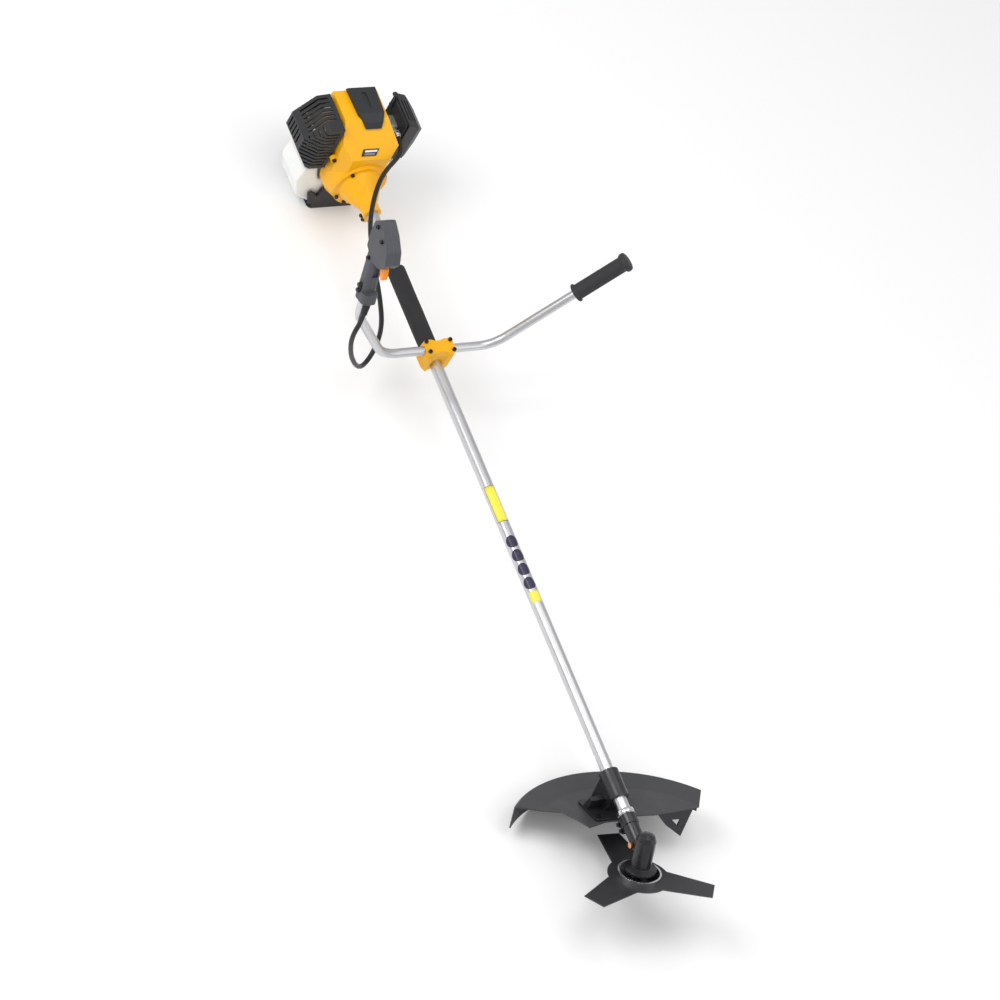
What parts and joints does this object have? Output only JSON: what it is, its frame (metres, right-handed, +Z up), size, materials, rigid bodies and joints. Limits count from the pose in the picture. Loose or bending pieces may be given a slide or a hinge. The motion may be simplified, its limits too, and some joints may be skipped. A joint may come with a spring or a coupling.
{
  "type": "brush cutter",
  "caption": "Petrol brush cutter: engine on a floor stand, straight drive tube with a bicycle-style handlebar, angled gear head, curved guard and a flat toothed cutting blade.",
  "frame": {"origin": "centre of the flat base of the engine stand, on the floor", "axes": "+X along the drive tube from the engine to the blade, +Y to the operator's left, +Z up"},
  "size_m": [1.9328, 0.6184, 0.543],
  "materials": {
    "yellow_plastic": "satin moulded nylon",
    "charcoal_plastic": "fine-grain moulded plastic",
    "stand_plastic": "moulded plastic",
    "tank_plastic": "milky translucent polyethylene",
    "tube_metal": "bright drawn tube",
    "black_casting": "satin black paint on cast aluminium",
    "blade_steel": "dark oxide with a ground edge",
    "guard_plastic": "moulded polypropylene",
    "steel": "machined",
    "cast_metal": "as-cast",
    "muffler_steel": "heat-tinted sheet",
    "copper_plug": "turned",
    "trigger_plastic": "moulded",
    "switch_plastic": "moulded",
    "foam": "closed-cell foam",
    "grip_rubber": "ribbed rubber",
    "black_rubber": "smooth rubber",
    "clear_rubber": "translucent silicone",
    "filter_felt": "pleated felt",
    "rope_fibre": "braided cord",
    "coil_resin": "potting resin"
  },
  "bodies": {
    "machine": {"air_filter_base": "charcoal_plastic", "air_filter_cover": "charcoal_plastic", "air_filter_element": "filter_felt", "ball_bearings": "steel", "carburetor": "cast_metal", "clamp_base": "yellow_plastic", "clamp_body": "yellow_plastic", "clamp_cap": "yellow_plastic", "clutch_housing": "yellow_plastic", "clutch_shoes": "cast_metal", "connecting_rod": "steel", "crankcase": "cast_metal", "crankshaft": "steel", "cylinder": "cast_metal", "engine_stand": "stand_plastic", "fan_cover": "yellow_plastic", "flywheel": "cast_metal", "foam_sleeve": "foam", "fuel_hoses": "black_rubber", "fuel_tank": "tank_plastic", "gear_case": "black_casting", "grease_plug": "copper_plug", "guard": "guard_plastic", "guard_bracket": "black_casting", "handlebar": "tube_metal", "harness_clamp": "steel", "ignition_coil": "coil_resin", "left_grip": "grip_rubber", "line_cutter": "steel", "main_tube": "tube_metal", "muffler": "muffler_steel", "muffler_guard": "charcoal_plastic", "piston": "cast_metal", "shaft_bushings": "black_rubber", "socket_screws": "steel", "spark_plug": "black_rubber", "starter_cover": "charcoal_plastic", "starter_rope": "rope_fibre", "throttle_cable": "black_rubber", "throttle_housing_inner": "charcoal_plastic", "throttle_housing_outer": "charcoal_plastic", "top_cover": "charcoal_plastic"},
    "rotor": {"output_shaft": "steel", "bevel_gear": "steel", "upper_flange": "steel", "blade": "blade_steel", "lower_flange": "steel", "blade_nut": "steel"},
    "drive_line": {"drive_shaft": "steel", "pinion_gear": "steel", "clutch_drum": "steel"},
    "trigger": {"throttle_trigger": "trigger_plastic"},
    "carb_arm": {"carburetor_lever": "steel"},
    "lockout": {"lockout_lever": "charcoal_plastic"},
    "switch": {"stop_switch": "switch_plastic"},
    "primer": {"primer_bulb": "clear_rubber"},
    "choke": {"choke_lever": "charcoal_plastic"},
    "tank_cap": {"fuel_cap": "charcoal_plastic"},
    "pull_grip": {"starter_grip": "charcoal_plastic"},
    "rope_drum": {"starter_pulley": "charcoal_plastic"}
  },
  "joints": [
    {"name": "blade_spin", "type": "hinge", "parent": "machine", "child": "rotor", "pos_m": [1.73, 0, 0.138], "axis": [-0.4695, 0, 0.8829], "continuous": true},
    {"name": "drive_shaft_spin", "type": "hinge", "parent": "machine", "child": "drive_line", "pos_m": [0.2, 0, 0.138], "axis": [1, 0, 0], "continuous": true},
    {"name": "throttle_pull", "type": "hinge", "parent": "machine", "child": "trigger", "pos_m": [0.5298, -0.24618, 0.47467], "axis": [0, 1, 0], "range_deg": [0, 20], "stiffness_Nm_per_rad": 0.5, "springref_deg": -11.46},
    {"name": "carb_throttle", "type": "hinge", "parent": "machine", "child": "carb_arm", "pos_m": [0.015, 0.072, 0.2285], "axis": [0, 0, 1], "range_deg": [0, 60]},
    {"name": "lockout_press", "type": "hinge", "parent": "machine", "child": "lockout", "pos_m": [0.49269, -0.24618, 0.47767], "axis": [0, -1, 0], "range_deg": [0, 8], "stiffness_Nm_per_rad": 0.4, "springref_deg": -8.59},
    {"name": "stop_press", "type": "slide", "parent": "machine", "child": "switch", "axis": [0, 1, 0], "range_m": [0, 0.0025], "stiffness_N_per_m": 400, "springref_m": -0.001},
    {"name": "primer_press", "type": "slide", "parent": "machine", "child": "primer", "axis": [0, 0, 1], "range_m": [0, 0.004], "stiffness_N_per_m": 400, "springref_m": -0.0005},
    {"name": "choke_turn", "type": "hinge", "parent": "machine", "child": "choke", "pos_m": [-0.018, 0.086, 0.234], "axis": [0, 1, 0], "range_deg": [0, 60]},
    {"name": "tank_cap_turn", "type": "hinge", "parent": "machine", "child": "tank_cap", "pos_m": [0.004, 0.126, 0.08], "axis": [0, 1, 0], "range_deg": [0, 360]},
    {"name": "starter_pull", "type": "slide", "parent": "machine", "child": "pull_grip", "axis": [0, 1, 0], "range_m": [0, 0.6], "stiffness_N_per_m": 12, "springref_m": -0.2, "deforming": ["starter_rope"]},
    {"name": "pulley_turn", "type": "hinge", "parent": "machine", "child": "rope_drum", "pos_m": [-0.06, 0, 0.138], "axis": [1, 0, 0], "range_deg": [-1400, 0]}
  ],
  "couplings": [
    {"joint": "drive_shaft_spin", "follows": "blade_spin", "ratio": 1.3333},
    {"joint": "carb_throttle", "follows": "throttle_pull", "ratio": 3},
    {"joint": "pulley_turn", "follows": "starter_pull", "rad_per_m": -40}
  ]
}
